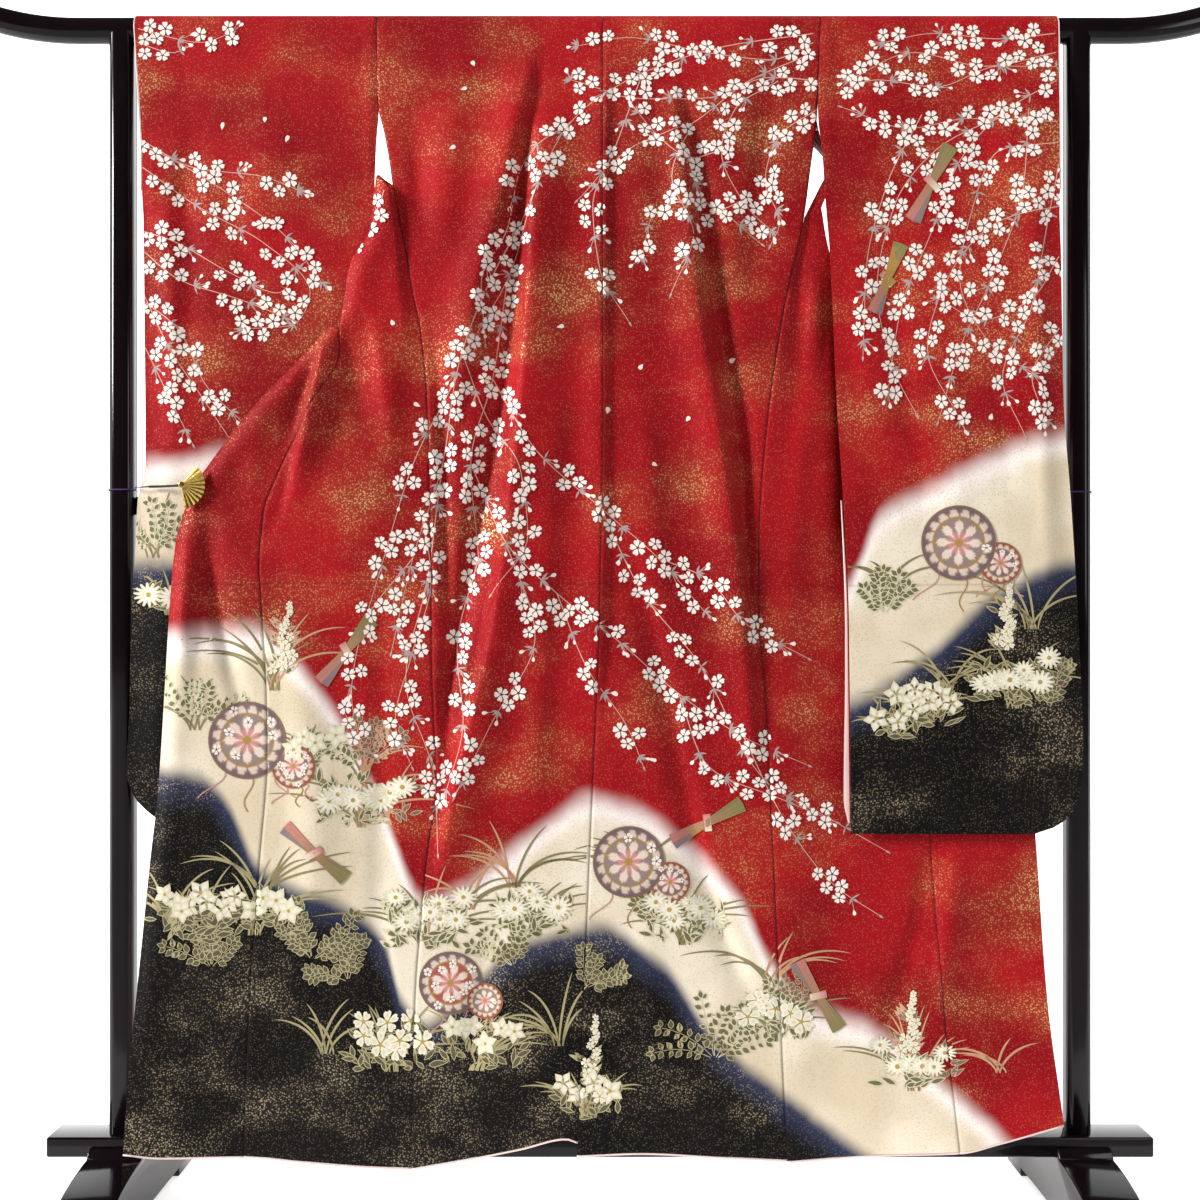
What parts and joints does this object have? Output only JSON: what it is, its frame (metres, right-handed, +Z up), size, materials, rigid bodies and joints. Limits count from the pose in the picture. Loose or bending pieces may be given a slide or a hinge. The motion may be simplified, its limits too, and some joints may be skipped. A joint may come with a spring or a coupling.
{
  "type": "furisode kimono on a kimono rack",
  "caption": "Long-sleeved formal silk kimono hung back outward over the round top beam of a black lacquered kimono rack, one front drawn round and held by a fan-shaped clip.",
  "frame": {"origin": "centre of the rack's footprint, on the surface that it stands on", "axes": "+X along the beam, to the right as the kimono's back is seen; +Y away from that viewer; +Z up"},
  "size_m": [1.875, 0.442, 1.7418],
  "materials": {
    "printed_silk": "red silk crepe with dyed cream and black zones, flower print and gold dust",
    "silk_lining": "plain pale pink silk",
    "black_lacquer": "gloss black lacquer on wood",
    "gold_metal": "polished gold plate",
    "braided_cord": "black and purple braided cord"
  },
  "bodies": {
    "root": {"back_left": "printed_silk", "back_right": "printed_silk", "sleeve_left_back": "printed_silk", "sleeve_left_front": "printed_silk", "sleeve_right_back": "printed_silk", "sleeve_right_front": "printed_silk", "front_left": "printed_silk", "okumi_left": "printed_silk", "front_right": "printed_silk", "okumi_right": "printed_silk", "collar": "printed_silk", "hem_roll_back_left": "silk_lining", "hem_roll_back_right": "silk_lining", "hem_roll_front_left": "silk_lining", "hem_roll_okumi_left": "silk_lining", "hem_roll_front_right": "silk_lining", "hem_roll_okumi_right": "silk_lining", "cuff_roll_left": "silk_lining", "cuff_roll_right": "silk_lining", "furi_lining_right": "silk_lining", "top_beam": "black_lacquer", "post_left": "black_lacquer", "post_right": "black_lacquer", "middle_rail": "black_lacquer", "crossbar": "black_lacquer", "foot_left": "black_lacquer", "foot_right": "black_lacquer", "fan_clip_leaf": "gold_metal", "fan_clip_pivot": "gold_metal", "clip_cord": "braided_cord", "post_cord_left": "braided_cord", "post_cord_right": "braided_cord"}
  },
  "joints": []
}
